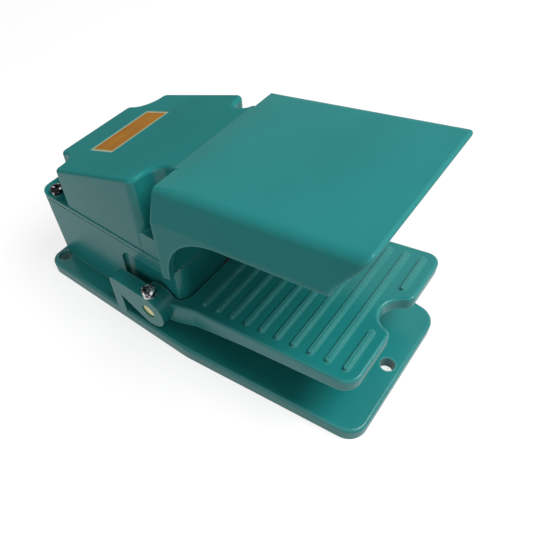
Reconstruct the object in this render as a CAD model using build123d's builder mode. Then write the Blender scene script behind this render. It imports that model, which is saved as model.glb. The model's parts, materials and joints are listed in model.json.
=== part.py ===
from build123d import *
from math import asin, atan2, cos, degrees, hypot, radians, sin, tan
import os

os.makedirs("parts", exist_ok=True)

# Industrial foot switch: a die-cast housing with a hood over a ribbed pedal.
# X runs across, the toe opening faces -Y, Z is up, and the origin is the middle
# of the base plate's underside. All sizes are in millimetres.

# Base plate
plate_length = 240.0
plate_width = 124.0
plate_nose_width = 100.0
plate_nose_length = 114.0
plate_thickness = 9.3
plate_rear_corner = 8.5
plate_nose_corner = 12.0
plate_taper_blend = 60.0
plate_edge_round = 2.0
plate_skin = 4.0
plate_rim = 5.0
plate_rib = 4.0
plate_rib_pitch = 40.0
floor_hole = 9.0
floor_hole_land = 9.0
rear_hole_inset_x = 9.0
rear_hole_inset_y = 7.4
nose_hole_inset = 8.8

# Lower box, cast in one with the plate
box_length = 115.9
box_width = 98.0
box_setback = 1.1
box_height = 60.5
box_wall = 3.5
box_rear_corner = 8.0
box_front_corner = 10.0
side_pocket_depth = 2.0
side_pocket_length = 47.0
side_pocket_drop = 6.5
side_pocket_corner = 10.0
lever_slot_width = 22.0
lever_slot_bottom = 13.0
lever_slot_top = 35.0

# Pedal pivot and the two ears
pivot_setback = 17.3
pivot_height = 27.3
shaft_diameter = 10.0
shaft_recess = 0.8
running_clearance = 0.04
ear_end_radius = 12.2
ear_inner_face = 52.7
ear_relief = 1.6
ear_post_rear = 30.0
ear_post_width = 6.9
ear_window_drop = 0.3
seal_outer_diameter = 15.0
bush_outer_diameter = 13.0
part_gap = 0.3

# Cover casting
gasket_thickness = 0.8
gasket_inset = 0.7
gasket_width = 2.6
flange_thickness = 2.7
cover_step = 0.6
cover_draft = 1.35
cover_wall = 3.5
cover_rear_setback = 6.8
cover_rear_rise = 23.4
cover_slope = 20.24
cover_edge_round = 2.2
cover_corner = 4.5
slot_corner = 6.5
rear_scallop_radius = 12.5
notch_inner_x = 32.5
notch_depth = 21.0
notch_floor_rise = 16.0
notch_floor_thickness = 4.0
label_length = 48.5
label_width = 22.3
label_sink = 0.7
label_thickness = 0.5
label_gap = 0.25
label_setback = 34.8

# Hood, cast in one with the cover
hood_reach = 111.2
hood_rise = 62.1
hood_slope = 11.02
hood_top_width = 98.0
hood_width = 110.0
hood_panel_drop = 18.7
hood_lip = 2.9
hood_wall = 3.5
hood_crease_round = 6.0
lip_crease_round = 2.0
hood_bend_round = 90.0
hood_rim_round = 1.6
hood_nose_rake = 13.6
nose_bend_round = 9.0
hood_rear_wall = 4.0
leg_web = 4.0
leg_foot_rise = 1.2
leg_width = 5.5
arch_radius = 46.0

# Pedal casting
pedal_reach = 131.8
pedal_width = 102.0
pedal_plate = 3.5
pedal_slope = 12.23
pedal_plane_height = 35.37
pedal_skirt = 3.0
pedal_nose_corner = 8.5
pedal_edge_round = 1.6
pedal_notch_radius = 11.9
pedal_notch_mouth = 5.0
pedal_block_gap = 1.0
pedal_swing_gap = 1.7
pedal_hub_radius = 11.8
pedal_hub_outer = 53.9
rib_pitch = 10.54
rib_count = 9
rib_length = 89.5
rib_width = 3.0
rib_height = 1.7
rib_first_setback = 13.3
split_rib_inner = 16.0

# Lever and switch gear inside the box
lever_width = 16.0
lever_hub_radius = 10.0
lever_rear_reach = 78.0
lever_rear_thickness = 8.0
lever_front_reach = 62.0
lever_front_thickness = 7.0
lever_pad = 5.0
lever_screw_reaches = (34.0, 54.0)
plunger_reach = 32.0
spring_reach = 69.7
switch_length = 49.2
switch_width = 17.5
switch_height = 22.0
switch_base_height = 40.0
switch_hole_spacing = 25.4
switch_cover_height = 3.0
plunger_diameter = 8.0
terminal_thickness = 1.5
terminal_size = 9.0
terminal_tab = 0.8
terminal_tab_height = 6.0
plunger_travel = 5.0
plunger_length = 18.0
collar_height = 2.5
bracket_thickness = 2.0
bracket_foot = 18.0
bracket_front_screw = 12.0
bracket_rear_screw = 34.0
pad_height = 4.0
earth_x = 28.0
earth_setback = 24.0
spring_diameter = 13.0
spring_wire = 1.4
spring_turns = 7.0
spring_top = 63.0
buffer_diameter = 14.0
buffer_reach = 50.0

# Screws
screw_diameter = 5.0
screw_head_ratio = 1.72
screw_head_rise = 0.66
flat_washer_thickness = 1.0
washer_diameter = 8.4
washer_thickness = 1.3
thread_clearance = 0.1
boss_radius = 6.5
thread_depth = 14.0
rear_screw_x = 43.2
rear_screw_setback = 11.9
front_screw_x = 42.5
front_screw_setback = 12.0
ear_screw_inset = 4.4
small_screw = 4.0
nut_across = 7.0
nut_thickness = 3.2

# Cable gland
gland_height = 35.0
gland_thread = 20.0
gland_hex = 24.0
gland_body_reach = 9.0
gland_neck = 18.0
gland_collar = 5.0
gland_seal_length = 6.0
gland_nut_face = 2.0
gland_bore = 12.0
gland_seal_bore = 9.0
gland_nut_bore = 11.0
gland_locknut_thickness = 4.5

# Places that follow from the sizes above
rear_y = plate_length / 2
nose_y = -plate_length / 2
box_rear_y = rear_y - box_setback
box_front_y = box_rear_y - box_length
pivot_y = box_front_y + pivot_setback
ear_outer_face = plate_width / 2
ear_screw_x = ear_outer_face - ear_screw_inset
ear_top_z = pivot_height + ear_end_radius
cover_base_z = box_height + gasket_thickness
cover_step_z = cover_base_z + flange_thickness
cover_rear_height = cover_base_z + cover_rear_rise
hood_front_height = cover_rear_height + hood_rise
notch_floor = cover_step_z + notch_floor_rise
leg_foot_height = cover_base_z + leg_foot_rise
side_pocket_height = box_height - side_pocket_drop
cover_rear_y = box_rear_y - cover_rear_setback
hood_front_y = box_front_y - hood_reach
rear_screw_y = box_rear_y - rear_screw_setback
front_screw_y = box_front_y + front_screw_setback
pedal_front_y = pivot_y - pedal_reach
leg_rear_y = box_front_y + hood_rear_wall
leg_front_y = leg_rear_y - leg_width
lever_y_end = pivot_y + lever_rear_reach
pocket_face = box_width / 2 - side_pocket_depth
lever_top_z = pivot_height + lever_rear_thickness / 2
floor_z = plate_thickness
plunger_y = pivot_y + plunger_reach
spring_y = pivot_y + spring_reach
bracket_face_x = switch_width / 2 + bracket_thickness
pad_z = floor_z + pad_height
earth_y = box_rear_y - earth_setback
bracket_screw_x = -bracket_face_x - bracket_foot / 2
bracket_spots = [(bracket_screw_x, plunger_y - bracket_front_screw),
                 (bracket_screw_x, plunger_y + bracket_rear_screw)]


def cover_top(y):
    # height of the cover's sloping roof
    return cover_rear_height + tan(radians(cover_slope)) * (cover_rear_y - y)


def hood_top(y):
    # height of the hood's upper face
    return hood_front_height - tan(radians(hood_slope)) * (y - hood_front_y)


def pedal_top(y):
    # height of the pedal plate's upper face
    return pedal_plane_height - tan(radians(pedal_slope)) * y


def pan_screw(diameter, length):
    # Cross-recessed pan-head screw, with the underside of its head at z = 0.
    head_diameter = diameter * screw_head_ratio
    head_height = diameter * screw_head_rise
    recess = head_diameter * 0.5
    with BuildPart() as screw:
        Cylinder(head_diameter / 2, head_height, align=(Align.CENTER, Align.CENTER, Align.MIN))
        fillet(screw.edges().group_by(Axis.Z)[-1], head_height * 0.4)
        Cylinder(diameter / 2, length, align=(Align.CENTER, Align.CENTER, Align.MAX))
        chamfer(screw.edges().group_by(Axis.Z)[0], 0.5)
        with BuildSketch(Plane.XY.offset(head_height)):
            Rectangle(recess, diameter * 0.22)
            Rectangle(diameter * 0.22, recess)
        extrude(amount=-head_height * 0.55, mode=Mode.SUBTRACT)
    return screw.part


def spring_washer(diameter, bore, thickness):
    # Split ring, with its gap cut on the slant.
    with BuildPart() as ring:
        with BuildSketch():
            Circle(diameter / 2)
            Circle(bore / 2, mode=Mode.SUBTRACT)
        extrude(amount=thickness)
        with BuildSketch(Plane.XZ.offset(diameter / 4)):
            with BuildLine():
                Polyline((-0.8, 0), (-0.3, 0), (0.8, thickness), (0.3, thickness), close=True)
            make_face()
        extrude(amount=diameter / 2, both=True, mode=Mode.SUBTRACT)
    return ring.part


# Base casting: plate, lower box and ears in one piece
with BuildPart() as base_casting:
    with BuildSketch() as plate_outline:
        with BuildLine():
            Polyline((-plate_width / 2, rear_y), (plate_width / 2, rear_y),
                     (plate_width / 2, nose_y + plate_nose_length), (plate_nose_width / 2, nose_y),
                     (-plate_nose_width / 2, nose_y), (-plate_width / 2, nose_y + plate_nose_length),
                     close=True)
        make_face()
        corners = plate_outline.vertices().group_by(Axis.Y)
        fillet(corners[0], plate_nose_corner)
        corners = plate_outline.vertices().group_by(Axis.Y)
        fillet(corners[-1], plate_rear_corner)
        sides = plate_outline.vertices().filter_by(lambda v: abs(v.Y - nose_y - plate_nose_length) < 0.1)
        fillet(sides, plate_taper_blend)
    extrude(amount=plate_thickness)
    fillet(base_casting.edges().group_by(Axis.Z)[-1], plate_edge_round)

    with BuildSketch(Plane.XY.offset(plate_thickness - plate_skin)) as box_outline:
        with Locations((0, (box_rear_y + box_front_y) / 2)):
            Rectangle(box_width, box_length)
        fillet(box_outline.vertices().group_by(Axis.Y)[-1], box_rear_corner)
        fillet(box_outline.vertices().group_by(Axis.Y)[0], box_front_corner)
    extrude(amount=box_height - plate_thickness + plate_skin)

    # shallow pockets in both sides, where the pedal's arms run
    with BuildSketch(Plane.YZ.offset(pocket_face)) as pocket_outline:
        with BuildLine():
            pocket_end = box_front_y + side_pocket_length
            Polyline((box_front_y - 1, plate_thickness), (pocket_end, plate_thickness),
                     (pocket_end, side_pocket_height), (box_front_y - 1, side_pocket_height), close=True)
        make_face()
        corner = pocket_outline.vertices().sort_by(lambda v: v.X + v.Y)[-1]
        fillet(corner, side_pocket_corner)
    pocket_cut = extrude(amount=side_pocket_depth + 1, mode=Mode.SUBTRACT)
    mirror(pocket_cut, about=Plane.YZ, mode=Mode.SUBTRACT)

    # inside of the box
    with BuildSketch(Plane.XY.offset(floor_z)) as hollow_outline:
        with Locations((0, (box_rear_y + box_front_y) / 2)):
            Rectangle(2 * (pocket_face - box_wall), box_length - 2 * box_wall)
        with Locations((0, box_rear_y - box_wall - (box_length - side_pocket_length - 2 * box_wall) / 2)):
            Rectangle(box_width - 2 * box_wall, box_length - side_pocket_length - 2 * box_wall)
        fillet(hollow_outline.vertices().group_by(Axis.Y)[-1], box_rear_corner - box_wall)
        fillet(hollow_outline.vertices().group_by(Axis.Y)[0], box_front_corner - box_wall)
    extrude(amount=box_height, mode=Mode.SUBTRACT)

    # corner bosses for the cover screws
    with BuildSketch(Plane.XY.offset(floor_z)):
        with Locations((-rear_screw_x, rear_screw_y), (rear_screw_x, rear_screw_y)):
            Circle(boss_radius)
        with Locations((0, (box_rear_y + box_front_y) / 2)):
            RectangleRounded(box_width, box_length, box_rear_corner, mode=Mode.INTERSECT)
    extrude(amount=box_height - floor_z)
    with BuildSketch(Plane.XY.offset(box_height)):
        with Locations((-front_screw_x, front_screw_y), (front_screw_x, front_screw_y)):
            Circle(boss_radius)
        with Locations((0, (box_rear_y + box_front_y) / 2)):
            RectangleRounded(2 * pocket_face, box_length, box_rear_corner, mode=Mode.INTERSECT)
    extrude(amount=-thread_depth - 4)
    with Locations((-rear_screw_x, rear_screw_y, box_height), (rear_screw_x, rear_screw_y, box_height),
                   (-front_screw_x, front_screw_y, box_height), (front_screw_x, front_screw_y, box_height)):
        Hole(screw_diameter / 2 + thread_clearance / 2, depth=thread_depth + 2)

    # bosses round the shaft where it passes the box walls
    with BuildSketch(Plane.YZ.offset(pocket_face - box_wall - 2)):
        with Locations((pivot_y, pivot_height)):
            Circle(seal_outer_diameter / 2 + 3)
    shaft_boss = extrude(amount=box_wall + 2)
    mirror(shaft_boss, about=Plane.YZ)

    # ears: a post, and an arm with a round end over the pivot
    ear_rear_y = pivot_y + ear_post_rear
    window_y = ear_rear_y - ear_post_width
    window_z = pivot_height - ear_window_drop
    reach = hypot(window_y - pivot_y, window_z - pivot_height)
    window_angle = degrees(atan2(window_z - pivot_height, window_y - pivot_y))
    lower_angle = window_angle - 90 + degrees(asin(ear_end_radius / reach))
    lower_y = pivot_y + ear_end_radius * cos(radians(lower_angle))
    lower_z = pivot_height + ear_end_radius * sin(radians(lower_angle))
    with BuildSketch(Plane.YZ.offset(ear_inner_face)) as ear_outline:
        with BuildLine():
            ear_foot_z = plate_thickness - plate_skin
            Polyline((ear_rear_y + 0.8, ear_foot_z), (ear_rear_y, ear_top_z), (pivot_y, ear_top_z))
            ThreePointArc((pivot_y, ear_top_z), (pivot_y - ear_end_radius, pivot_height),
                          (lower_y, lower_z))
            Polyline((lower_y, lower_z), (window_y, window_z), (window_y - 0.5, ear_foot_z),
                     (ear_rear_y + 0.8, ear_foot_z))
        make_face()
        fillet(ear_outline.vertices().sort_by(lambda v: v.X + v.Y)[-1], 3)
    ear = extrude(amount=ear_outer_face - ear_inner_face)
    mirror(ear, about=Plane.YZ)

    # relief for the pedal's hubs on the ears' inner faces
    with BuildSketch(Plane.YZ.offset(pocket_face)):
        with Locations((pivot_y, pivot_height)):
            Circle(pedal_hub_radius + 1)
    relief = extrude(amount=ear_inner_face + ear_relief - pocket_face, mode=Mode.SUBTRACT)
    mirror(relief, about=Plane.YZ, mode=Mode.SUBTRACT)

    # shaft and seal bores
    with BuildSketch(Plane.YZ.offset(-plate_width / 2 - 1)):
        with Locations((pivot_y, pivot_height)):
            Circle(shaft_diameter / 2)
    extrude(amount=plate_width + 2, mode=Mode.SUBTRACT)
    with BuildSketch(Plane.YZ.offset(-pocket_face - 1)):
        with Locations((pivot_y, pivot_height)):
            Circle(seal_outer_diameter / 2)
    extrude(amount=2 * pocket_face + 2, mode=Mode.SUBTRACT)

    # slot in the front wall for the lever
    with BuildSketch(Plane.XZ.offset(-box_front_y - box_wall - 1)):
        with Locations((0, (lever_slot_bottom + lever_slot_top) / 2)):
            RectangleRounded(lever_slot_width, lever_slot_top - lever_slot_bottom, 2)
    extrude(amount=box_wall + 2, mode=Mode.SUBTRACT)

    # pads inside for the switch bracket and the earth screw
    with BuildSketch(Plane.XY.offset(floor_z)):
        with Locations(bracket_spots[0], bracket_spots[1]):
            Circle(boss_radius)
        with Locations((earth_x, earth_y)):
            Circle(boss_radius - 1)
    extrude(amount=pad_height)
    with Locations((*bracket_spots[0], pad_z), (*bracket_spots[1], pad_z),
                   (earth_x, earth_y, pad_z)):
        Hole(small_screw / 2 + thread_clearance / 2, depth=7)

    # floor holes
    with Locations((-plate_width / 2 + rear_hole_inset_x, rear_y - rear_hole_inset_y, plate_thickness),
                   (plate_width / 2 - rear_hole_inset_x, rear_y - rear_hole_inset_y, plate_thickness),
                   (0, nose_y + nose_hole_inset, plate_thickness)):
        Hole(floor_hole / 2)

    # screw holes in the ears, down to the shaft
    with Locations((-ear_screw_x, pivot_y, ear_top_z), (ear_screw_x, pivot_y, ear_top_z)):
        Hole(screw_diameter / 2 + thread_clearance / 2, depth=ear_end_radius - shaft_diameter / 2 + 0.5)

    # cable gland hole in the rear wall
    with BuildSketch(Plane.XZ.offset(-box_rear_y - 1)):
        with Locations((0, gland_height)):
            Circle(gland_thread / 2 + thread_clearance / 2)
    extrude(amount=box_wall + 2, mode=Mode.SUBTRACT)

    # cored underside, with a rim, two long ribs and cross ribs
    with BuildSketch() as core_outline:
        add(plate_outline.sketch)
        offset(amount=-plate_rim)
        Rectangle(plate_rib, plate_length, mode=Mode.SUBTRACT)
        with GridLocations(0, plate_rib_pitch, 1, 5):
            Rectangle(plate_width, plate_rib, mode=Mode.SUBTRACT)
        with Locations((-plate_width / 2 + rear_hole_inset_x, rear_y - rear_hole_inset_y),
                       (plate_width / 2 - rear_hole_inset_x, rear_y - rear_hole_inset_y),
                       (0, nose_y + nose_hole_inset)):
            Circle(floor_hole_land, mode=Mode.SUBTRACT)
        with Locations(bracket_spots[0], bracket_spots[1], (earth_x, earth_y)):
            Circle(boss_radius - 1, mode=Mode.SUBTRACT)
    extrude(amount=plate_thickness - plate_skin, mode=Mode.SUBTRACT)
base_casting.part.label = "base_casting"
export_step(base_casting.part, "parts/base_casting.step")

# Cover gasket: a flat rubber ring between the two castings
with BuildPart() as cover_gasket:
    with BuildSketch(Plane.XY.offset(box_height)):
        add(box_outline.sketch.moved(Location((0, 0, plate_skin - plate_thickness))))
        offset(amount=-gasket_inset)
        offset(amount=-gasket_width, mode=Mode.SUBTRACT)
    extrude(amount=gasket_thickness)
cover_gasket.part.label = "cover_gasket"
export_step(cover_gasket.part, "parts/cover_gasket.step")


def cover_plan(inset, front):
    # The cover's outline seen from above: scalloped round the rear screws, with a round-ended slot over each
    # front screw.
    half = box_width / 2 - cover_step - inset
    rear = cover_rear_y - inset
    scallop = rear_scallop_radius + inset
    slot_front = leg_rear_y - inset
    slot_rear = box_front_y + notch_depth + inset
    with BuildSketch() as plan:
        with Locations((0, (front + rear) / 2)):
            Rectangle(2 * half, rear - front)
        with Locations((-rear_screw_x, rear_screw_y), (rear_screw_x, rear_screw_y)):
            Circle(scallop, mode=Mode.SUBTRACT)
        for side in (-1, 1):
            with Locations((side * (notch_inner_x - inset + box_width / 2), (slot_front + slot_rear) / 2)):
                SlotOverall(box_width, slot_rear - slot_front, mode=Mode.SUBTRACT)
        ends = plan.vertices().filter_by(lambda v: v.Y > rear_screw_y - scallop - 1)
        fillet(ends, cover_corner)
        corners = plan.vertices().filter_by(lambda v: abs(v.Y - slot_rear) < 0.1 and abs(v.X) > half - 0.1)
        fillet(corners, slot_corner - inset)
    return plan.sketch


def hood_section(y, inset):
    # The hood's cross-section at one depth: a flat top, two leaning panels and upright lips below them.
    top = hood_top(y) - inset / cos(radians(hood_slope))
    lean = (hood_width - hood_top_width) / 2
    side = inset * hypot(lean, hood_panel_drop) / hood_panel_drop
    top_half = hood_top_width / 2 - side + inset * lean / hood_panel_drop
    with BuildSketch(Plane.XZ.offset(-y)) as section:
        with BuildLine():
            half = hood_width / 2 - inset
            lip_top = hood_top(y) - hood_panel_drop
            Polyline((-half, leg_foot_height - inset), (-half, lip_top), (-top_half, top), (top_half, top),
                     (half, lip_top), (half, leg_foot_height - inset), close=True)
        make_face()
        fillet(section.vertices().group_by(Axis.Y)[-1], max(hood_crease_round - inset, 0.5))
        fillet(section.vertices().filter_by(lambda v: abs(v.Y - lip_top) < 0.1), lip_crease_round)
    return section.sketch


def crossing_y():
    # depth at which the roof's plane and the hood's plane meet
    rise = cover_rear_height + tan(radians(cover_slope)) * cover_rear_y
    fall = hood_front_height + tan(radians(hood_slope)) * hood_front_y
    return (rise - fall) / (tan(radians(cover_slope)) - tan(radians(hood_slope)))


def outer_depth(point):
    # how far a point lies inside the hood's outer faces, at most
    below = hood_top(point.Y) - point.Z
    lean = below * (hood_width - hood_top_width) / 2 / hood_panel_drop
    return min(below, hood_top_width / 2 + lean - abs(point.X), hood_width / 2 - abs(point.X))


# Cover hollow, taken out of the cover casting
roof_z = hood_front_height
with BuildPart() as cover_hollow:
    with BuildSketch(Plane.XY.offset(cover_base_z)):
        add(cover_plan(cover_wall, leg_rear_y))
    extrude(amount=roof_z - cover_base_z, taper=cover_draft)
    with BuildSketch(Plane.XY.offset(cover_base_z)):
        with Locations((0, leg_rear_y + notch_depth / 2)):
            Rectangle(box_width - 2 * cover_step - 2 * cover_wall, notch_depth)
        with Locations((-front_screw_x, front_screw_y), (front_screw_x, front_screw_y)):
            Circle(boss_radius, mode=Mode.SUBTRACT)
    extrude(amount=notch_floor - notch_floor_thickness - cover_base_z)
    with BuildSketch(Plane.YZ):
        with BuildLine():
            under = cover_wall / cos(radians(cover_slope))
            Polyline((nose_y, cover_top(nose_y) - under), (rear_y, cover_top(rear_y) - under),
                     (rear_y, 2 * roof_z), (nose_y, 2 * roof_z), close=True)
        make_face()
    extrude(amount=plate_width, both=True, mode=Mode.SUBTRACT)

# Cover casting: box cover and hood in one piece
with BuildPart() as cover_casting:
    slope_run = (0, -cos(radians(hood_slope)), sin(radians(hood_slope)))
    add(hood_section(leg_rear_y, 0))
    extrude(amount=(leg_rear_y - hood_front_y) / cos(radians(hood_slope)), dir=slope_run)
    add(hood_section(leg_rear_y - leg_web, hood_wall))
    extrude(amount=hood_reach + leg_web + 20, dir=slope_run, mode=Mode.SUBTRACT)
    lip_y = hood_front_y + hood_nose_rake
    with BuildSketch(Plane.YZ) as nose_outline:
        with BuildLine():
            Polyline((hood_front_y, 2 * roof_z), (hood_front_y, hood_top(hood_front_y)),
                     (lip_y, hood_top(lip_y) - hood_panel_drop), (lip_y, leg_foot_height / 2),
                     (2 * hood_front_y, leg_foot_height / 2), (2 * hood_front_y, 2 * roof_z), close=True)
        make_face()
        lip_corners = nose_outline.vertices().filter_by(lambda v: abs(v.X - lip_y) < 0.1)
        fillet(lip_corners.sort_by(Axis.Y)[-1], nose_bend_round)
    extrude(amount=plate_width, both=True, mode=Mode.SUBTRACT)
    with BuildSketch(Plane.YZ) as arch_outline:
        with BuildLine():
            lip_line = hood_panel_drop + hood_lip
            ahead_y = hood_front_y - 5
            Polyline((leg_front_y, 0), (leg_front_y, hood_top(leg_front_y) - lip_line),
                     (ahead_y, hood_top(ahead_y) - lip_line), (ahead_y, 0), close=True)
        make_face()
        bend = arch_outline.vertices().filter_by(lambda v: abs(v.X - leg_front_y) < 0.1 and v.Y > 1)
        fillet(bend, arch_radius)
    extrude(amount=plate_width, both=True, mode=Mode.SUBTRACT)

    # rounded outer rim of the nose
    nose_faces = cover_casting.faces().filter_by(lambda f: f.normal_at().Y < -0.5)
    nose_faces = nose_faces.filter_by(lambda f: f.center().Y < lip_y + 1)
    nose_rim = nose_faces.edges().filter_by(lambda e: outer_depth(e @ 0.5) < hood_wall * 0.4)
    fillet(nose_rim, hood_rim_round)

    # box part, with a front block below the slots
    with BuildSketch(Plane.XY.offset(cover_step_z)):
        add(cover_plan(0, leg_rear_y))
    extrude(amount=roof_z - cover_step_z, taper=cover_draft)
    with BuildSketch(Plane.XY.offset(cover_step_z)) as front_block:
        with Locations((0, box_front_y + (notch_depth + cover_wall) / 2)):
            Rectangle(box_width - 2 * cover_step, notch_depth + cover_wall)
        fillet(front_block.vertices().group_by(Axis.Y)[0], box_front_corner - cover_step)
    extrude(amount=notch_floor - cover_step_z, taper=cover_draft)
    with BuildSketch(Plane.XY.offset(cover_base_z)):
        add(box_outline.sketch.moved(Location((0, 0, plate_skin - plate_thickness))))
    extrude(amount=flange_thickness)

    # roof and hood meet in one soft bend
    with BuildSketch(Plane.YZ) as above:
        with BuildLine():
            bend_y = crossing_y()
            ahead_y = hood_front_y - 30
            Polyline((ahead_y, hood_top(ahead_y)), (bend_y, hood_top(bend_y)), (rear_y, cover_top(rear_y)),
                     (rear_y, 2 * roof_z), (ahead_y, 2 * roof_z), close=True)
        make_face()
        fillet(above.vertices().filter_by(lambda v: abs(v.X - bend_y) < 0.1), hood_bend_round)
    extrude(amount=plate_width, both=True, mode=Mode.SUBTRACT)
    roof = cover_casting.faces().filter_by(lambda f: f.normal_at().Z > 0.8 and f.center().Y > front_screw_y)
    roof_rim = roof.sort_by(SortBy.AREA)[-1].edges().filter_by(lambda e: e.center().Y > leg_rear_y + 1)
    fillet(roof_rim, cover_edge_round)
    add(cover_hollow.part, mode=Mode.SUBTRACT)

    # screw holes through the rear flange and the front notch floors
    with Locations((-rear_screw_x, rear_screw_y, cover_step_z), (rear_screw_x, rear_screw_y, cover_step_z),
                   (-front_screw_x, front_screw_y, notch_floor), (front_screw_x, front_screw_y, notch_floor)):
        Hole(screw_diameter / 2 + thread_clearance, depth=notch_floor - cover_base_z + 1)

    # sunk field for the label plate
    label_y = cover_rear_y - label_setback
    roof_normal = (0, sin(radians(cover_slope)), cos(radians(cover_slope)))
    label_plane = Plane(origin=(0, label_y, cover_top(label_y)), x_dir=(1, 0, 0), z_dir=roof_normal)
    with BuildSketch(label_plane):
        RectangleRounded(label_length, label_width, 1)
    extrude(amount=-label_sink, mode=Mode.SUBTRACT)
cover_casting.part.label = "cover_casting"
export_step(cover_casting.part, "parts/cover_casting.step")

# Label plate, bare
with BuildPart() as label_plate:
    with BuildSketch(label_plane.offset(-label_sink)):
        RectangleRounded(label_length - 2 * label_gap, label_width - 2 * label_gap, 0.8)
    extrude(amount=label_thickness)
label_plate.part.label = "label_plate"
export_step(label_plate.part, "parts/label_plate.step")

# Pedal hollow, taken out of the pedal's underside
block_gap_x = pocket_face + pedal_block_gap
pedal_rear_y = box_front_y - pedal_swing_gap


def pedal_plan(inset):
    # The pedal seen from above: rounded toe corners, a half-round notch, and arms that flare out to the hubs.
    half = pedal_width / 2 - inset
    notch = pedal_notch_radius + inset
    with BuildSketch() as plan:
        with BuildLine():
            arm = pedal_hub_outer - inset
            arm_y = box_front_y + 7
            end_y = pivot_y + pedal_hub_radius
            Polyline((-half, pedal_front_y + inset), (half, pedal_front_y + inset), (half, box_front_y - 10),
                     (arm, arm_y), (arm, end_y), (-arm, end_y), (-arm, arm_y),
                     (-half, box_front_y - 10), close=True)
        make_face()
        fillet(plan.vertices().group_by(Axis.Y)[0], pedal_nose_corner - inset)
        with Locations((0, pedal_front_y)):
            Circle(notch, mode=Mode.SUBTRACT)
        front = plan.vertices().group_by(Axis.Y)[0]
        fillet(front.filter_by(lambda v: abs(v.X) < notch + 1), pedal_notch_mouth - inset)
    return plan.sketch


pedal_normal = (0, sin(radians(pedal_slope)), cos(radians(pedal_slope)))
plate_drop = pedal_plate / cos(radians(pedal_slope))
with BuildPart() as pedal_hollow:
    add(pedal_plan(pedal_skirt))
    extrude(amount=2 * hood_front_height)
    with BuildSketch(Plane.YZ):
        with BuildLine():
            Polyline((nose_y, pedal_top(nose_y) - plate_drop), (nose_y, 0), (box_front_y, 0),
                     (box_front_y, pedal_top(box_front_y) - plate_drop), close=True)
        make_face()
    extrude(amount=pedal_width, both=True, mode=Mode.INTERSECT)
    pad_drop = plate_drop + lever_pad / cos(radians(pedal_slope))
    with BuildSketch(Plane.YZ):
        with BuildLine():
            Polyline((pivot_y - lever_front_reach - 2, pedal_top(pivot_y - lever_front_reach - 2) - pad_drop),
                     (pedal_rear_y, pedal_top(pedal_rear_y) - pad_drop), (pedal_rear_y, hood_front_height),
                     (pivot_y - lever_front_reach - 2, hood_front_height), close=True)
        make_face()
    extrude(amount=lever_width / 2 + 2, both=True, mode=Mode.SUBTRACT)

# Pedal casting
with BuildPart() as pedal_casting:
    add(pedal_plan(0))
    extrude(amount=2 * hood_front_height)
    hub_low = pivot_height - pedal_hub_radius
    skirt_line = [(box_front_y + 4, hub_low + 1.8), (box_front_y - 10, pivot_height - 5.6),
                  (box_front_y - 30, pivot_height + 1.3), (box_front_y - 84, pivot_height + 15.8),
                  (pedal_front_y - 1, pivot_height + 24.3)]
    with BuildSketch(Plane.YZ) as pedal_side:
        with BuildLine():
            Line((pedal_front_y - 1, pedal_top(pedal_front_y - 1)), (pivot_y, pedal_top(pivot_y)))
            Line((pivot_y, pedal_top(pivot_y)), (pivot_y, hub_low))
            Line((pivot_y, hub_low), skirt_line[0])
            Spline(*skirt_line)
            Line(skirt_line[-1], (pedal_front_y - 1, pedal_top(pedal_front_y - 1)))
        make_face()
    extrude(amount=plate_width, both=True, mode=Mode.INTERSECT)
    top = pedal_casting.faces().filter_by(lambda f: f.normal_at().Z > 0.9).sort_by(SortBy.AREA)[-1]
    fillet(top.edges().filter_by(lambda e: e.center().Y < pivot_y - 1), pedal_edge_round)
    with BuildSketch(Plane.YZ.offset(-pedal_hub_outer)):
        with Locations((pivot_y, pivot_height)):
            Circle(pedal_hub_radius)
    extrude(amount=2 * pedal_hub_outer)
    add(pedal_hollow.part, mode=Mode.SUBTRACT)
    with BuildSketch() as block_room:
        with Locations((0, pedal_rear_y + box_length / 2)):
            Rectangle(box_width + 2 * pedal_block_gap, box_length)
            fillet(block_room.vertices().group_by(Axis.Y)[0], box_front_corner + pedal_block_gap)
            Rectangle(2 * block_gap_x, box_length, mode=Mode.INTERSECT)
    extrude(amount=2 * hood_front_height, mode=Mode.SUBTRACT)
    with BuildSketch(Plane.YZ.offset(-pedal_width)):
        with Locations((pivot_y, pivot_height)):
            Circle(bush_outer_diameter / 2)
    extrude(amount=2 * pedal_width, mode=Mode.SUBTRACT)

    # cross ribs on the tread; the foremost is split by the notch
    first_y = box_front_y - rib_first_setback
    tread = Plane(origin=(0, first_y, pedal_top(first_y)), x_dir=(1, 0, 0), z_dir=pedal_normal)
    with BuildSketch(tread.offset(-0.3)):
        for i in range(rib_count):
            with Locations((0, -i * rib_pitch)):
                SlotOverall(rib_length, rib_width)
        for side in (-1, 1):
            with Locations((side * (rib_length / 2 + split_rib_inner) / 2, -rib_count * rib_pitch)):
                SlotOverall(rib_length / 2 - split_rib_inner, rib_width)
    extrude(amount=rib_height + 0.3, taper=12)

    # tapped holes for the lever screws
    for reach in lever_screw_reaches:
        spot_y = pivot_y - reach
        with Locations(Location(Plane(origin=(0, spot_y, pedal_top(spot_y) - pad_drop), x_dir=(1, 0, 0),
                                      z_dir=(0, -pedal_normal[1], -pedal_normal[2])))):
            Hole(screw_diameter / 2, depth=lever_pad + 1)
pedal_casting.part.label = "pedal_casting"
export_step(pedal_casting.part, "parts/pedal_casting.step")

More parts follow.
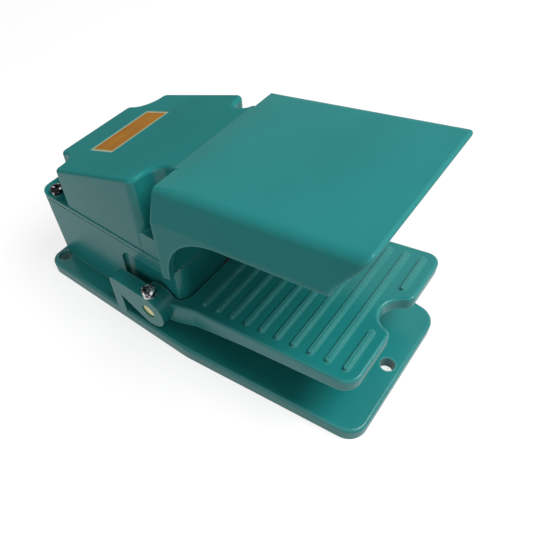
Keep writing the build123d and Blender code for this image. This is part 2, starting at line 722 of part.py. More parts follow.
# Actuator lever: bolted under the pedal, it passes through the box's front wall to the shaft
with BuildPart() as actuator_lever:
    with BuildSketch(Plane.YZ) as lever_side:
        with Locations((pivot_y, pivot_height)):
            Circle(lever_hub_radius)
        with BuildLine():
            a_y = pivot_y - lever_front_reach
            b_y = pivot_y - 2
            thick = lever_front_thickness / cos(radians(pedal_slope))
            a_z = pedal_top(a_y) - pad_drop
            b_z = pedal_top(b_y) - pad_drop
            Polyline((a_y, a_z), (b_y, b_z), (b_y, b_z - thick), (a_y, a_z - thick), close=True)
        make_face()
        with BuildLine():
            under_z = lever_top_z - lever_rear_thickness
            Polyline((pivot_y, under_z), (lever_y_end, under_z + 2), (lever_y_end, lever_top_z),
                     (pivot_y, lever_top_z), close=True)
        make_face()
    extrude(amount=lever_width / 2, both=True)
    with BuildSketch(Plane.YZ.offset(-lever_width)):
        with Locations((pivot_y, pivot_height)):
            Circle(bush_outer_diameter / 2)
    extrude(amount=2 * lever_width, mode=Mode.SUBTRACT)
    fillet(actuator_lever.edges().filter_by(Axis.Z).group_by(Axis.Y)[-1], 4)
    for reach in lever_screw_reaches:
        spot_y = pivot_y - reach
        with Locations(Location(Plane(origin=(0, spot_y, pedal_top(spot_y) - pad_drop), x_dir=(1, 0, 0),
                                      z_dir=pedal_normal))):
            Hole(screw_diameter / 2 + thread_clearance, depth=lever_front_thickness + 1)
actuator_lever.part.label = "actuator_lever"
export_step(actuator_lever.part, "parts/actuator_lever.step")

# Lever screws, driven up from below
lever_screw = pan_screw(screw_diameter, lever_front_thickness + lever_pad)
with BuildPart() as lever_screws:
    for reach in lever_screw_reaches:
        spot_y = pivot_y - reach
        under_z = pedal_top(spot_y) - pad_drop
        down = (0, -pedal_normal[1], -pedal_normal[2])
        seat = Plane(origin=(0, spot_y, under_z), x_dir=(1, 0, 0), z_dir=down)
        with Locations(Location(seat.offset(lever_front_thickness))):
            add(lever_screw)
lever_screws.part.label = "lever_screws"
export_step(lever_screws.part, "parts/lever_screws.step")


def tube_along_x(x, length, outer, inner):
    # A ring on the pivot's axis, from x onwards.
    with BuildPart() as ring:
        with BuildSketch(Plane.YZ.offset(x)):
            with Locations((pivot_y, pivot_height)):
                Circle(outer / 2)
                Circle(inner / 2, mode=Mode.SUBTRACT)
        extrude(amount=length)
    return ring.part


# Bushes: one in each pedal hub, one in the lever
bush_bore = shaft_diameter + 2 * running_clearance
with BuildPart() as pedal_bushes:
    add(tube_along_x(block_gap_x, pedal_hub_outer - block_gap_x, bush_outer_diameter, bush_bore))
    add(tube_along_x(-pedal_hub_outer, pedal_hub_outer - block_gap_x, bush_outer_diameter, bush_bore))
pedal_bushes.part.label = "pedal_bushes"
export_step(pedal_bushes.part, "parts/pedal_bushes.step")
with BuildPart() as lever_bush:
    add(tube_along_x(-lever_width / 2, lever_width, bush_outer_diameter, bush_bore))
lever_bush.part.label = "lever_bush"
export_step(lever_bush.part, "parts/lever_bush.step")

# Pivot shaft from ear to ear
shaft_length = plate_width - 2 * shaft_recess
with BuildPart() as pivot_shaft:
    with BuildSketch(Plane.YZ.offset(-shaft_length / 2)):
        with Locations((pivot_y, pivot_height)):
            Circle(shaft_diameter / 2)
    extrude(amount=shaft_length)
    chamfer(pivot_shaft.edges().filter_by(GeomType.CIRCLE), 0.6)
pivot_shaft.part.label = "pivot_shaft"
export_step(pivot_shaft.part, "parts/pivot_shaft.step")
seal_length = box_wall + 1
with BuildPart() as shaft_seals:
    add(tube_along_x(pocket_face - seal_length, seal_length, seal_outer_diameter, shaft_diameter))
    add(tube_along_x(-pocket_face, seal_length, seal_outer_diameter, shaft_diameter))
shaft_seals.part.label = "shaft_seals"
export_step(shaft_seals.part, "parts/shaft_seals.step")

# Cover screws and their spring washers
rear_head_z = cover_step_z + washer_thickness
front_head_z = notch_floor + washer_thickness
rear_screw = pan_screw(screw_diameter, rear_head_z - box_height + thread_depth)
front_screw = pan_screw(screw_diameter, front_head_z - box_height + thread_depth)
washer = spring_washer(washer_diameter, screw_diameter, washer_thickness)
with BuildPart() as cover_screws_rear:
    with Locations((-rear_screw_x, rear_screw_y, rear_head_z), (rear_screw_x, rear_screw_y, rear_head_z)):
        add(rear_screw)
cover_screws_rear.part.label = "cover_screws_rear"
export_step(cover_screws_rear.part, "parts/cover_screws_rear.step")
with BuildPart() as cover_screws_front:
    with Locations((-front_screw_x, front_screw_y, front_head_z),
                   (front_screw_x, front_screw_y, front_head_z)):
        add(front_screw)
cover_screws_front.part.label = "cover_screws_front"
export_step(cover_screws_front.part, "parts/cover_screws_front.step")
with BuildPart() as cover_washers:
    with Locations((-rear_screw_x, rear_screw_y, cover_step_z), (rear_screw_x, rear_screw_y, cover_step_z),
                   (-front_screw_x, front_screw_y, notch_floor), (front_screw_x, front_screw_y, notch_floor)):
        add(washer)
cover_washers.part.label = "cover_washers"
export_step(cover_washers.part, "parts/cover_washers.step")

# Ear screws, which clamp the shaft, with a flat and a spring washer each
ear_head_z = ear_top_z + flat_washer_thickness + washer_thickness
ear_screw = pan_screw(screw_diameter, ear_head_z - pivot_height - shaft_diameter / 2)
with BuildPart() as ear_screws:
    with Locations((-ear_screw_x, pivot_y, ear_head_z), (ear_screw_x, pivot_y, ear_head_z)):
        add(ear_screw)
ear_screws.part.label = "ear_screws"
export_step(ear_screws.part, "parts/ear_screws.step")
with BuildPart() as ear_spring_washers:
    with Locations((-ear_screw_x, pivot_y, ear_top_z + flat_washer_thickness),
                   (ear_screw_x, pivot_y, ear_top_z + flat_washer_thickness)):
        add(washer)
ear_spring_washers.part.label = "ear_spring_washers"
export_step(ear_spring_washers.part, "parts/ear_spring_washers.step")
with BuildPart() as ear_flat_washers:
    with BuildSketch(Plane.XY.offset(ear_top_z)):
        with Locations((-ear_screw_x, pivot_y), (ear_screw_x, pivot_y)):
            Circle(washer_diameter / 2)
            Circle(screw_diameter / 2, mode=Mode.SUBTRACT)
    extrude(amount=flat_washer_thickness)
ear_flat_washers.part.label = "ear_flat_washers"
export_step(ear_flat_washers.part, "parts/ear_flat_washers.step")

# Switch body, upside down over the lever
switch_top = switch_base_height + switch_height
switch_screw_z = switch_base_height + 7
with BuildPart() as switch_body:
    with BuildSketch(Plane.XY.offset(switch_base_height)) as switch_outline:
        with Locations((0, plunger_y)):
            RectangleRounded(switch_width, switch_length, 1)
    extrude(amount=switch_height)
    with Locations((0, plunger_y, switch_base_height)):
        Cylinder(plunger_diameter / 2 + 2.5, collar_height, align=(Align.CENTER, Align.CENTER, Align.MAX))
    with Locations((0, plunger_y, switch_base_height - collar_height)):
        Cylinder(plunger_diameter / 2 + running_clearance, plunger_length + plunger_travel - collar_height,
                 align=(Align.CENTER, Align.CENTER, Align.MIN), mode=Mode.SUBTRACT)
    for side in (-1, 1):
        with BuildSketch(Plane.YZ.offset(-switch_width)):
            with Locations((plunger_y + side * switch_hole_spacing / 2, switch_screw_z)):
                Circle(small_screw / 2 + thread_clearance)
        extrude(amount=2 * switch_width, mode=Mode.SUBTRACT)
switch_body.part.label = "switch_body"
export_step(switch_body.part, "parts/switch_body.step")
with BuildPart() as switch_cover:
    with BuildSketch(Plane.XY.offset(switch_top)):
        with Locations((0, plunger_y)):
            RectangleRounded(switch_width, switch_length, 1)
    extrude(amount=switch_cover_height)
    fillet(switch_cover.edges().group_by(Axis.Z)[-1], 0.6)
switch_cover.part.label = "switch_cover"
export_step(switch_cover.part, "parts/switch_cover.step")

# Switch plunger
with BuildPart() as switch_plunger:
    with Locations((0, plunger_y, lever_top_z + part_gap)):
        Cylinder(plunger_diameter / 2, plunger_length, align=(Align.CENTER, Align.CENTER, Align.MIN))
    fillet(switch_plunger.edges().group_by(Axis.Z)[0], 2.5)
switch_plunger.part.label = "switch_plunger"
export_step(switch_plunger.part, "parts/switch_plunger.step")

# Terminals and their screws on top of the switch
terminal_z = switch_top + switch_cover_height
terminal_spots = [(0, plunger_y + i * switch_length / 3) for i in (-1, 0, 1)]
with BuildPart() as switch_terminals:
    with BuildSketch(Plane.XY.offset(terminal_z)):
        with Locations(*terminal_spots):
            Rectangle(terminal_size, terminal_size)
            Circle(small_screw / 2, mode=Mode.SUBTRACT)
    extrude(amount=terminal_thickness)
    with BuildSketch(Plane.XY.offset(terminal_z)):
        for spot in terminal_spots:
            with Locations((spot[0] + (terminal_size - terminal_tab) / 2, spot[1])):
                Rectangle(terminal_tab, terminal_size)
    extrude(amount=terminal_tab_height)
switch_terminals.part.label = "switch_terminals"
export_step(switch_terminals.part, "parts/switch_terminals.step")
terminal_screw = pan_screw(small_screw, terminal_thickness)
with BuildPart() as terminal_screws:
    with Locations(*[(*spot, terminal_z + terminal_thickness) for spot in terminal_spots]):
        add(terminal_screw)
terminal_screws.part.label = "terminal_screws"
export_step(terminal_screws.part, "parts/terminal_screws.step")

# Switch bracket: a foot, a side plate and a shelf over the spring
with BuildPart() as switch_bracket:
    bracket_front = plunger_y - switch_length / 2 + 6
    bracket_rear = spring_y + spring_diameter / 2 + 3
    with BuildSketch(Plane.YZ.offset(-bracket_face_x)):
        with BuildLine():
            shelf_z = spring_top + bracket_thickness
            shelf_y = spring_y - spring_diameter / 2 - 2
            shoulder_z = switch_screw_z + 2 * small_screw
            Polyline((bracket_front, pad_z), (bracket_rear, pad_z), (bracket_rear, shelf_z),
                     (shelf_y, shelf_z), (shelf_y - small_screw, shoulder_z), (bracket_front, shoulder_z),
                     close=True)
        make_face()
        for side in (-1, 1):
            with Locations((plunger_y + side * switch_hole_spacing / 2, switch_screw_z)):
                Circle(small_screw / 2 + thread_clearance, mode=Mode.SUBTRACT)
    extrude(amount=bracket_thickness)
    with BuildSketch(Plane.XY.offset(pad_z)):
        with Locations((bracket_screw_x + bracket_thickness, (bracket_front + bracket_rear) / 2)):
            Rectangle(bracket_foot, bracket_rear - bracket_front)
        with Locations(*bracket_spots):
            Circle(small_screw / 2 + thread_clearance, mode=Mode.SUBTRACT)
    extrude(amount=bracket_thickness)
    with BuildSketch(Plane.XY.offset(spring_top)):
        with Locations(((spring_diameter / 2 + 2 - bracket_face_x) / 2, spring_y)):
            Rectangle(bracket_face_x + spring_diameter / 2 + 2, spring_diameter + 4)
    extrude(amount=bracket_thickness)
    with Locations((0, spring_y, spring_top)):
        Cylinder(spring_diameter / 2 - spring_wire - 0.4, 3, align=(Align.CENTER, Align.CENTER, Align.MAX))
switch_bracket.part.label = "switch_bracket"
export_step(switch_bracket.part, "parts/switch_bracket.step")
bracket_screw = pan_screw(small_screw, bracket_thickness + 5)
with BuildPart() as bracket_screws:
    with Locations(*[(*spot, pad_z + bracket_thickness) for spot in bracket_spots]):
        add(bracket_screw)
bracket_screws.part.label = "bracket_screws"
export_step(bracket_screws.part, "parts/bracket_screws.step")

# Screws and nuts that hold the switch on the bracket
switch_screw = pan_screw(small_screw, switch_width + bracket_thickness + nut_thickness + 0.5)
with BuildPart() as switch_screws:
    for side in (-1, 1):
        spot = (switch_width / 2, plunger_y + side * switch_hole_spacing / 2, switch_screw_z)
        with Locations(Location(Plane(origin=spot, x_dir=(0, 1, 0), z_dir=(1, 0, 0)))):
            add(switch_screw)
switch_screws.part.label = "switch_screws"
export_step(switch_screws.part, "parts/switch_screws.step")
with BuildPart() as switch_nuts:
    with BuildSketch(Plane.YZ.offset(-bracket_face_x - nut_thickness)):
        with Locations((plunger_y - switch_hole_spacing / 2, switch_screw_z),
                       (plunger_y + switch_hole_spacing / 2, switch_screw_z)):
            RegularPolygon(nut_across / 2, 6, major_radius=False)
            Circle(small_screw / 2, mode=Mode.SUBTRACT)
    extrude(amount=nut_thickness)
switch_nuts.part.label = "switch_nuts"
export_step(switch_nuts.part, "parts/switch_nuts.step")

# Return spring between the lever and the bracket's shelf
spring_bottom = lever_top_z + part_gap
coil_height = spring_top - spring_bottom - spring_wire
with BuildPart() as return_spring:
    with BuildLine() as coil:
        Helix(coil_height / spring_turns, coil_height, (spring_diameter - spring_wire) / 2,
              center=(0, spring_y, spring_bottom + spring_wire / 2))
    with BuildSketch(Plane(origin=coil.line @ 0, z_dir=coil.line % 0)):
        Circle(spring_wire / 2)
    sweep()
return_spring.part.label = "return_spring"
export_step(return_spring.part, "parts/return_spring.step")

# Rubber buffer that stops the lever at rest
buffer_y = pivot_y + buffer_reach
buffer_top = lever_top_z - lever_rear_thickness - part_gap
with BuildPart() as rest_buffer:
    with Locations((0, buffer_y, floor_z)):
        Cylinder(buffer_diameter / 2, buffer_top - floor_z, align=(Align.CENTER, Align.CENTER, Align.MIN))
    fillet(rest_buffer.edges().group_by(Axis.Z)[-1], 1.5)
rest_buffer.part.label = "rest_buffer"
export_step(rest_buffer.part, "parts/rest_buffer.step")

# Earth screw
earth = pan_screw(small_screw, 6)
with BuildPart() as earth_screw:
    with Locations((earth_x, earth_y, pad_z)):
        add(earth)
earth_screw.part.label = "earth_screw"
export_step(earth_screw.part, "parts/earth_screw.step")


def ring_along_y(y, length, outer, inner, hexagon=False):
    # A round or six-sided ring on the gland's axis, from y rearwards.
    with BuildPart() as ring:
        with BuildSketch(Plane.XZ.offset(-y - length)):
            with Locations((0, gland_height)):
                if hexagon:
                    RegularPolygon(outer / 2, 6, major_radius=False)
                else:
                    Circle(outer / 2)
                Circle(inner / 2, mode=Mode.SUBTRACT)
        extrude(amount=length)
    return ring.part


# Cable gland in the rear wall
inner_end_y = box_rear_y - box_wall - gland_locknut_thickness
collar_y = box_rear_y + gland_collar
seal_y = collar_y + gland_body_reach
with BuildPart() as gland_body:
    add(ring_along_y(inner_end_y - 1, box_rear_y - inner_end_y + 1, gland_thread, gland_bore))
    add(ring_along_y(box_rear_y, gland_collar, gland_hex, gland_bore, hexagon=True))
    add(ring_along_y(collar_y, gland_body_reach, gland_neck, gland_bore))
gland_body.part.label = "gland_body"
export_step(gland_body.part, "parts/gland_body.step")
with BuildPart() as gland_seal:
    add(ring_along_y(seal_y, gland_seal_length, gland_neck, gland_seal_bore))
gland_seal.part.label = "gland_seal"
export_step(gland_seal.part, "parts/gland_seal.step")
with BuildPart() as gland_nut:
    nut_length = gland_body_reach + gland_seal_length - part_gap
    add(ring_along_y(collar_y + part_gap, nut_length, gland_hex, gland_neck, hexagon=True))
    add(ring_along_y(collar_y + part_gap + nut_length, gland_nut_face, gland_hex - 2, gland_nut_bore))
gland_nut.part.label = "gland_nut"
export_step(gland_nut.part, "parts/gland_nut.step")
with BuildPart() as gland_locknut:
    add(ring_along_y(inner_end_y, gland_locknut_thickness, gland_hex, gland_thread, hexagon=True))
gland_locknut.part.label = "gland_locknut"
export_step(gland_locknut.part, "parts/gland_locknut.step")
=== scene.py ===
import json
import math
import bpy
import numpy as np
from mathutils import Matrix, Vector


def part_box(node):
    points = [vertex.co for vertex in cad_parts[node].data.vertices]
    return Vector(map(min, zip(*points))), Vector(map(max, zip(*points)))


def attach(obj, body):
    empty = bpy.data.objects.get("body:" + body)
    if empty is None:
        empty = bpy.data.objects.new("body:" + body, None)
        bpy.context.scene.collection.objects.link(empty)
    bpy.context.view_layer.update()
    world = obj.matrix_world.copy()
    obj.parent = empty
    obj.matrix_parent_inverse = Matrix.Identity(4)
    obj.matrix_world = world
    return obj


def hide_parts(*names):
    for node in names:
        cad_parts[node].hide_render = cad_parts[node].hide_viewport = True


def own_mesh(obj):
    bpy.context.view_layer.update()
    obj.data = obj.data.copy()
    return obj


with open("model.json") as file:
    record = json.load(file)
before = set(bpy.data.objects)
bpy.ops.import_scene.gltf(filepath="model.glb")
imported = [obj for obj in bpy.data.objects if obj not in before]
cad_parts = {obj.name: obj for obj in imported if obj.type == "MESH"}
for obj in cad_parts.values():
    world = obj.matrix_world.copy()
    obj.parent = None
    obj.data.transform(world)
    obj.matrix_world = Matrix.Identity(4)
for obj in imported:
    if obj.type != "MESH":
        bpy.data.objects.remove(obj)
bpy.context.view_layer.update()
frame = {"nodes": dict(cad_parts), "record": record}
print("stage: frame loaded")


# Camera, solved from measured points of the photograph

camera = {
    "place": (-0.17430, -0.15244, 0.29710),     # metres, in the part's own frame
    "azimuth": -53.30,                          # degrees round Z, 0 looks along +Y
    "elevation": 49.88,
    "roll": -1.07,
    "lens": 37.108,                             # millimetres
    "sensor": 36,
    "shift": (0.00133, -0.00107),
    "clip": (0.01, 50),
}


def makeCamera(c):
    # back points from the object to the eye, and the roll turns right and up about it
    az, el, roll = (math.radians(c[k]) for k in ("azimuth", "elevation", "roll"))
    back = Vector((math.sin(az) * math.cos(el), -math.cos(az) * math.cos(el), math.sin(el)))
    right = (-back).cross(Vector((0, 0, 1))).normalized()
    up = right.cross(-back)
    tiltedRight = right * math.cos(roll) + up * math.sin(roll)
    tiltedUp = up * math.cos(roll) - right * math.sin(roll)
    data = bpy.data.cameras.new("camera")
    data.lens, data.sensor_width = c["lens"], c["sensor"]
    data.shift_x, data.shift_y = c["shift"]
    data.clip_start, data.clip_end = c["clip"]
    eye = bpy.data.objects.new("camera", data)
    turn = Matrix((tiltedRight, tiltedUp, back)).transposed()
    eye.matrix_world = Matrix.Translation(c["place"]) @ turn.to_4x4()
    bpy.context.scene.collection.objects.link(eye)
    bpy.context.scene.camera = eye


makeCamera(camera)
print("stage: camera")


# Shader maths: a Wire is one output of a node, and sums on wires add their Math nodes

class Wire:
    def __init__(self, tree, out=None):
        self.tree, self.out = tree, out

    def node(self, kind, settings=None, sockets=None, out=0):
        made = self.tree.nodes.new(kind)
        for name, value in (settings or {}).items():
            setattr(made, name, value)
        for name, value in (sockets or {}).items():
            if isinstance(value, Wire):
                self.tree.links.new(value.out, made.inputs[name])
            else:
                made.inputs[name].default_value = value
        return Wire(self.tree, made.outputs[out] if made.outputs else None)

    def others(self, *names):                   # more outputs of the same node
        return [Wire(self.tree, self.out.node.outputs[name]) for name in names]

    def maths(self, operation, *values):
        return self.node("ShaderNodeMath", {"operation": operation}, dict(enumerate(values)))

    def __add__(self, other): return self.maths("ADD", self, other)
    def __radd__(self, other): return self.maths("ADD", other, self)
    def __sub__(self, other): return self.maths("SUBTRACT", self, other)
    def __rsub__(self, other): return self.maths("SUBTRACT", other, self)
    def __mul__(self, other): return self.maths("MULTIPLY", self, other)
    def __rmul__(self, other): return self.maths("MULTIPLY", other, self)
    def __truediv__(self, other): return self.maths("DIVIDE", self, other)
    def __gt__(self, other): return self.maths("GREATER_THAN", self, other)
    def __lt__(self, other): return self.maths("LESS_THAN", self, other)
    def __abs__(self): return self.maths("ABSOLUTE", self)

    def ramp(self, start, end):                 # 0 at start, 1 at end, smooth between
        return self.node("ShaderNodeMapRange", {"interpolation_type": "SMOOTHSTEP"},
                         {"Value": self, "From Min": start, "From Max": end})

    def between(self, first, second):           # two colours mixed by this value
        return self.node("ShaderNodeMix", {"data_type": "RGBA"}, {0: self, 6: first, 7: second}, out=2)

    def axes(self):                             # the three numbers of a vector
        return self.node("ShaderNodeSeparateXYZ", sockets={"Vector": self}).others("X", "Y", "Z")

    def noise(self, scale, detail, stretch=None):
        place = self
        if stretch:
            place = self.node("ShaderNodeMapping", sockets={"Vector": self, "Scale": stretch})
        return place.node("ShaderNodeTexNoise", sockets={"Vector": place, "Scale": scale, "Detail": detail})

    def edges(self, width, low, high):          # 1 along edges, where a face turns within the width
        facing = self.node("ShaderNodeNewGeometry", out="Normal")
        eased = self.node("ShaderNodeBevel", {"samples": 6}, {"Radius": width})
        alike = self.node("ShaderNodeVectorMath", {"operation": "DOT_PRODUCT"},
                          {0: facing, 1: eased}, out="Value")
        return (1 - alike).ramp(low, high)

    def bump(self, strength, depth):
        return self.node("ShaderNodeBump",
                         sockets={"Height": self, "Strength": strength, "Distance": depth})


def newFinish(name):
    # an empty material, with a wire on its object coordinates
    material = bpy.data.materials.new(name)
    material.use_nodes = True
    material.node_tree.nodes.clear()
    return material, Wire(material.node_tree).node("ShaderNodeTexCoord", out="Object")


def surface(material, place, constants, varying):
    # constants stand on the shader's own sockets, varying values are linked
    shader = place.node("ShaderNodeBsdfPrincipled", sockets={**constants, **varying})
    place.node("ShaderNodeOutputMaterial", sockets={"Surface": shader})
    return material


def colour(red, green, blue):
    return (red, green, blue, 1)


# Blue-green enamel on die-cast metal

enamel = {
    "colour": colour(0.016, 0.238, 0.232),
    "deeper": colour(0.013, 0.212, 0.206),
    "cloudScale": 14,                           # slow clouds between the two colours
    "cloudRange": (0.35, 0.65),
    "dust": colour(0.06, 0.28, 0.26),
    "dustShare": 0.22,
    "speckScale": 500,                          # specks of dust, and the patches that hold them
    "speckRange": (0.72, 0.82),
    "patchScale": 60,
    "patchRange": (0.45, 0.65),
    "paintedEdgeHighlight": colour(0.14, 0.42, 0.39),           # painted highlight: lighter colour along rounded edges, standing in for highlight lines
    "edgeWidth": 0.0020,
    "edgeRange": (0.004, 0.05),
    "highlightScale": 55,
    "highlightShare": (0.25, 0.45),                   # least share, and what the noise adds to it
    "seamAt": (0.0077, 0.116),                  # Y of the roof's seam, and a Z that all of it lies above
    "seamRange": (0.0045, 0.0055),              # no painted edge highlight nearer to the seam than this
    "peelScale": 900,                           # orange peel of the enamel, and the casting under it
    "castScale": 120,
    "peelShare": (0.35, 0.65),
    "relief": (0.35, 0.00012),                  # strength and depth
    "roughness": 0.25,
    "cloudRoughness": 0.10,
    "peelRoughness": 0.08,
    "coat": 0.60,                               # share of clear coat on the box, the plate and the pedal
    "wornRoof": 0.50,                           # what the roof lacks of it, dulled by hands
    "wornHood": 0.30,                           # what the hood lacks of it
    "roofFrom": (0.009, 0.062, 0.5),            # roof: behind this Y, above this Z, its normal's Z over this
}


def enamelFinish(e):
    material, place = newFinish("greenEnamel")
    y, z = place.axes()[1:]
    clouds = place.noise(e["cloudScale"], 4)
    specks = place.noise(e["speckScale"], 1).ramp(*e["speckRange"])
    dusty = specks * place.noise(e["patchScale"], 2).ramp(*e["patchRange"])
    tone = clouds.ramp(*e["cloudRange"]).between(e["deeper"], e["colour"])
    tone = (dusty * e["dustShare"]).between(tone, e["dust"])

    # painted highlight: the bevel mask lays a lighter colour along rounded edges, its strength varied by
    # noise and kept off the roof's seam
    seamY, seamZ = e["seamAt"]
    awayFromSeam = abs(y - seamY).ramp(*e["seamRange"])
    offSeam = place.maths("MAXIMUM", awayFromSeam, z < seamZ)
    least, more = e["highlightShare"]
    highlightStrength = least + place.noise(e["highlightScale"], 2) * more
    paintedHighlight = place.edges(e["edgeWidth"], *e["edgeRange"]) * highlightStrength * offSeam
    tone = paintedHighlight.between(tone, e["paintedEdgeHighlight"])

    peel, cast = place.noise(e["peelScale"], 1), place.noise(e["castScale"], 2)
    rough = e["roughness"] + (clouds - 0.5) * e["cloudRoughness"] + (peel - 0.5) * e["peelRoughness"]
    relief = (peel * e["peelShare"][0] + cast * e["peelShare"][1]).bump(*e["relief"])

    roofY, roofZ, roofFacing = e["roofFrom"]
    facing = place.node("ShaderNodeTexCoord", out="Normal").axes()[2]
    behind, above = y > roofY, z > roofZ
    worn = behind * (facing > roofFacing) * e["wornRoof"] + (1 - behind) * e["wornHood"]
    return surface(material, place,
                   {"Specular IOR Level": 0.0, "Coat Roughness": e["roughness"]},
                   {"Base Color": tone, "Roughness": rough, "Normal": relief,
                    "Coat Weight": e["coat"] - above * worn})


# Metals, dulled in patches and finely grained

metal = {
    "wearScale": 90,
    "wearRange": (0.40, 0.72),
    "wearShare": 0.6,
    "wearRoughness": 0.14,
    "grainScale": 400,
    "grainRoughness": 0.12,
    "relief": (0.4, 0.00003),
    "kinds": {                                  # bright tint, dull tint, roughness, stretch of the grain
        "zincSheet": (colour(0.44, 0.45, 0.47), colour(0.28, 0.29, 0.31), 0.32, (1, 0.08, 1)),
        "oiledBronze": (colour(0.30, 0.17, 0.07), colour(0.18, 0.10, 0.05), 0.38, (1, 1, 1)),
        "yellowZinc": (colour(0.60, 0.58, 0.27), colour(0.42, 0.40, 0.24), 0.30, (1, 1, 1)),
        "groundSteel": (colour(0.34, 0.34, 0.34), colour(0.20, 0.20, 0.21), 0.26, (1, 1, 0.1)),
        "plainBrass": (colour(0.72, 0.50, 0.20), colour(0.46, 0.31, 0.13), 0.28, (1, 1, 1)),
        "springWire": (colour(0.42, 0.42, 0.43), colour(0.24, 0.24, 0.25), 0.30, (1, 1, 1)),
    },
}


def metalFinish(m, kind):
    tint, dull, roughness, grain = m["kinds"][kind]
    material, place = newFinish(kind)
    wear = place.noise(m["wearScale"], 3).ramp(*m["wearRange"])
    lines = place.noise(m["grainScale"], 2, grain)
    tone = (wear * m["wearShare"]).between(tint, dull)
    rough = roughness + wear * m["wearRoughness"] + (lines - 0.5) * m["grainRoughness"]
    return surface(material, place, {"Metallic": 1.0},
                   {"Base Color": tone, "Roughness": rough, "Normal": lines.bump(*m["relief"])})


# Small plated screws: painted glints and painted dark reflection and shade in the base colour, in noise
# patches, with turned grain in roughness and bump

plated = {
    "paintedGlintScale": 520,
    "paintedGlintBlur": 0.07,
    "turnedScale": 2600,
    "roughness": 0.20,
    "turnedRoughness": 0.12,
    "relief": (0.3, 0.00002),
    "kinds": {                                  # painted glint, painted dark reflection, and the noise level where they meet
        "brightScrews": (colour(0.66, 0.66, 0.67), colour(0.035, 0.036, 0.04), 0.52),
        "darkScrews": (colour(0.60, 0.60, 0.61), colour(0.012, 0.012, 0.014), 0.60),
        "washerPlate": (colour(0.78, 0.78, 0.79), colour(0.25, 0.25, 0.26), 0.40),
    },
}


def platedFinish(p, kind):
    paintedGlint, paintedDarkReflection, level = p["kinds"][kind]
    material, place = newFinish(kind)
    # painted reflection: noise switches the base colour between a bright glint and a dark reflection
    paintedGlints = place.noise(p["paintedGlintScale"], 1).ramp(level - p["paintedGlintBlur"], level + p["paintedGlintBlur"])
    turned = place.noise(p["turnedScale"], 1)
    rough = p["roughness"] + turned * p["turnedRoughness"]
    return surface(material, place, {"Metallic": 1.0},
                   {"Base Color": paintedGlints.between(paintedDarkReflection, paintedGlint), "Roughness": rough,
                    "Normal": turned.bump(*p["relief"])})


# Moulded plastics and rubber, with a faint bloom

moulded = {
    "bloomScale": 70,
    "bloomRange": (0.35, 0.7),
    "bloomShare": 0.5,
    "bloomRoughness": 0.12,
    "grainScale": 1500,
    "relief": (0.35, 0.00005),
    "gloss": 0.4,
    "kinds": {                                  # colour, colour of the bloom, roughness
        "blackRubber": (colour(0.018, 0.018, 0.018), colour(0.04, 0.04, 0.04), 0.62),
        "blackPhenolic": (colour(0.02, 0.02, 0.022), colour(0.05, 0.05, 0.052), 0.42),
        "brownPhenolic": (colour(0.05, 0.022, 0.014), colour(0.09, 0.045, 0.03), 0.40),
        "blackPolyamide": (colour(0.025, 0.025, 0.027), colour(0.06, 0.06, 0.06), 0.48),
    },
}


def mouldedFinish(m, kind):
    tint, bloom, roughness = m["kinds"][kind]
    material, place = newFinish(kind)
    patches = place.noise(m["bloomScale"], 3).ramp(*m["bloomRange"])
    grain = place.noise(m["grainScale"], 2)
    tone = (patches * m["bloomShare"]).between(tint, bloom)
    rough = roughness + (patches - 0.5) * m["bloomRoughness"]
    return surface(material, place, {"Specular IOR Level": m["gloss"]},
                   {"Base Color": tone, "Roughness": rough, "Normal": grain.bump(*m["relief"])})


# Gold foil of the bare label plate, with a pale border line

label = {
    "gold": colour(0.44, 0.185, 0.012),
    "deepGold": colour(0.34, 0.135, 0.008),
    "goldRange": (0.35, 0.65),
    "brushScale": 300,
    "brushStretch": (0.06, 1, 1),
    "patchScale": 60,
    "border": colour(0.45, 0.52, 0.36),
    "borderWidth": 0.0011,
    "borderBlur": 0.0006,
    "middleY": 0.07727,                         # metres
    "slope": 20.24,                             # degrees
    "half": (0.0240, 0.0109),                   # half its length across and its width up the slope
    "roughness": 0.50,
    "brushRoughness": 0.2,
    "borderRoughness": 0.08,
    "relief": (0.2, 0.00002),
    "gloss": 0.04,
}


def foilFinish(p):
    # the border follows the least distance to the plate's four sides
    material, place = newFinish("goldFoil")
    x, y = place.axes()[:2]
    halfAcross, halfAlong = p["half"]
    along = abs((y - p["middleY"]) / math.cos(math.radians(p["slope"])))
    inset = place.maths("MINIMUM", halfAcross - abs(x), halfAlong - along)
    border = inset.ramp(p["borderWidth"] + p["borderBlur"], p["borderWidth"])
    brushed = place.noise(p["brushScale"], 2, p["brushStretch"])
    patches = place.noise(p["patchScale"], 3)
    tone = ((brushed + patches) * 0.5).ramp(*p["goldRange"]).between(p["deepGold"], p["gold"])
    rough = p["roughness"] + (brushed - 0.5) * p["brushRoughness"] + border * p["borderRoughness"]
    return surface(material, place, {"Specular IOR Level": p["gloss"]},
                   {"Base Color": border.between(tone, p["border"]), "Roughness": rough,
                    "Normal": brushed.bump(*p["relief"])})


finishes = {                                    # by the record's material slots
    "green_paint": enamelFinish(enamel),
    "black_rubber": mouldedFinish(moulded, "blackRubber"),
    "label_foil": foilFinish(label),
    "zinc_steel": metalFinish(metal, "zincSheet"),
    "bright_steel": platedFinish(plated, "brightScrews"),
    "bronze": metalFinish(metal, "oiledBronze"),
    "yellow_zinc": metalFinish(metal, "yellowZinc"),
    "black_plastic": mouldedFinish(moulded, "blackPhenolic"),
    "dark_plastic": mouldedFinish(moulded, "brownPhenolic"),
    "steel": metalFinish(metal, "groundSteel"),
    "brass": metalFinish(metal, "plainBrass"),
    "spring_steel": metalFinish(metal, "springWire"),
    "gland_plastic": mouldedFinish(moulded, "blackPolyamide"),
}

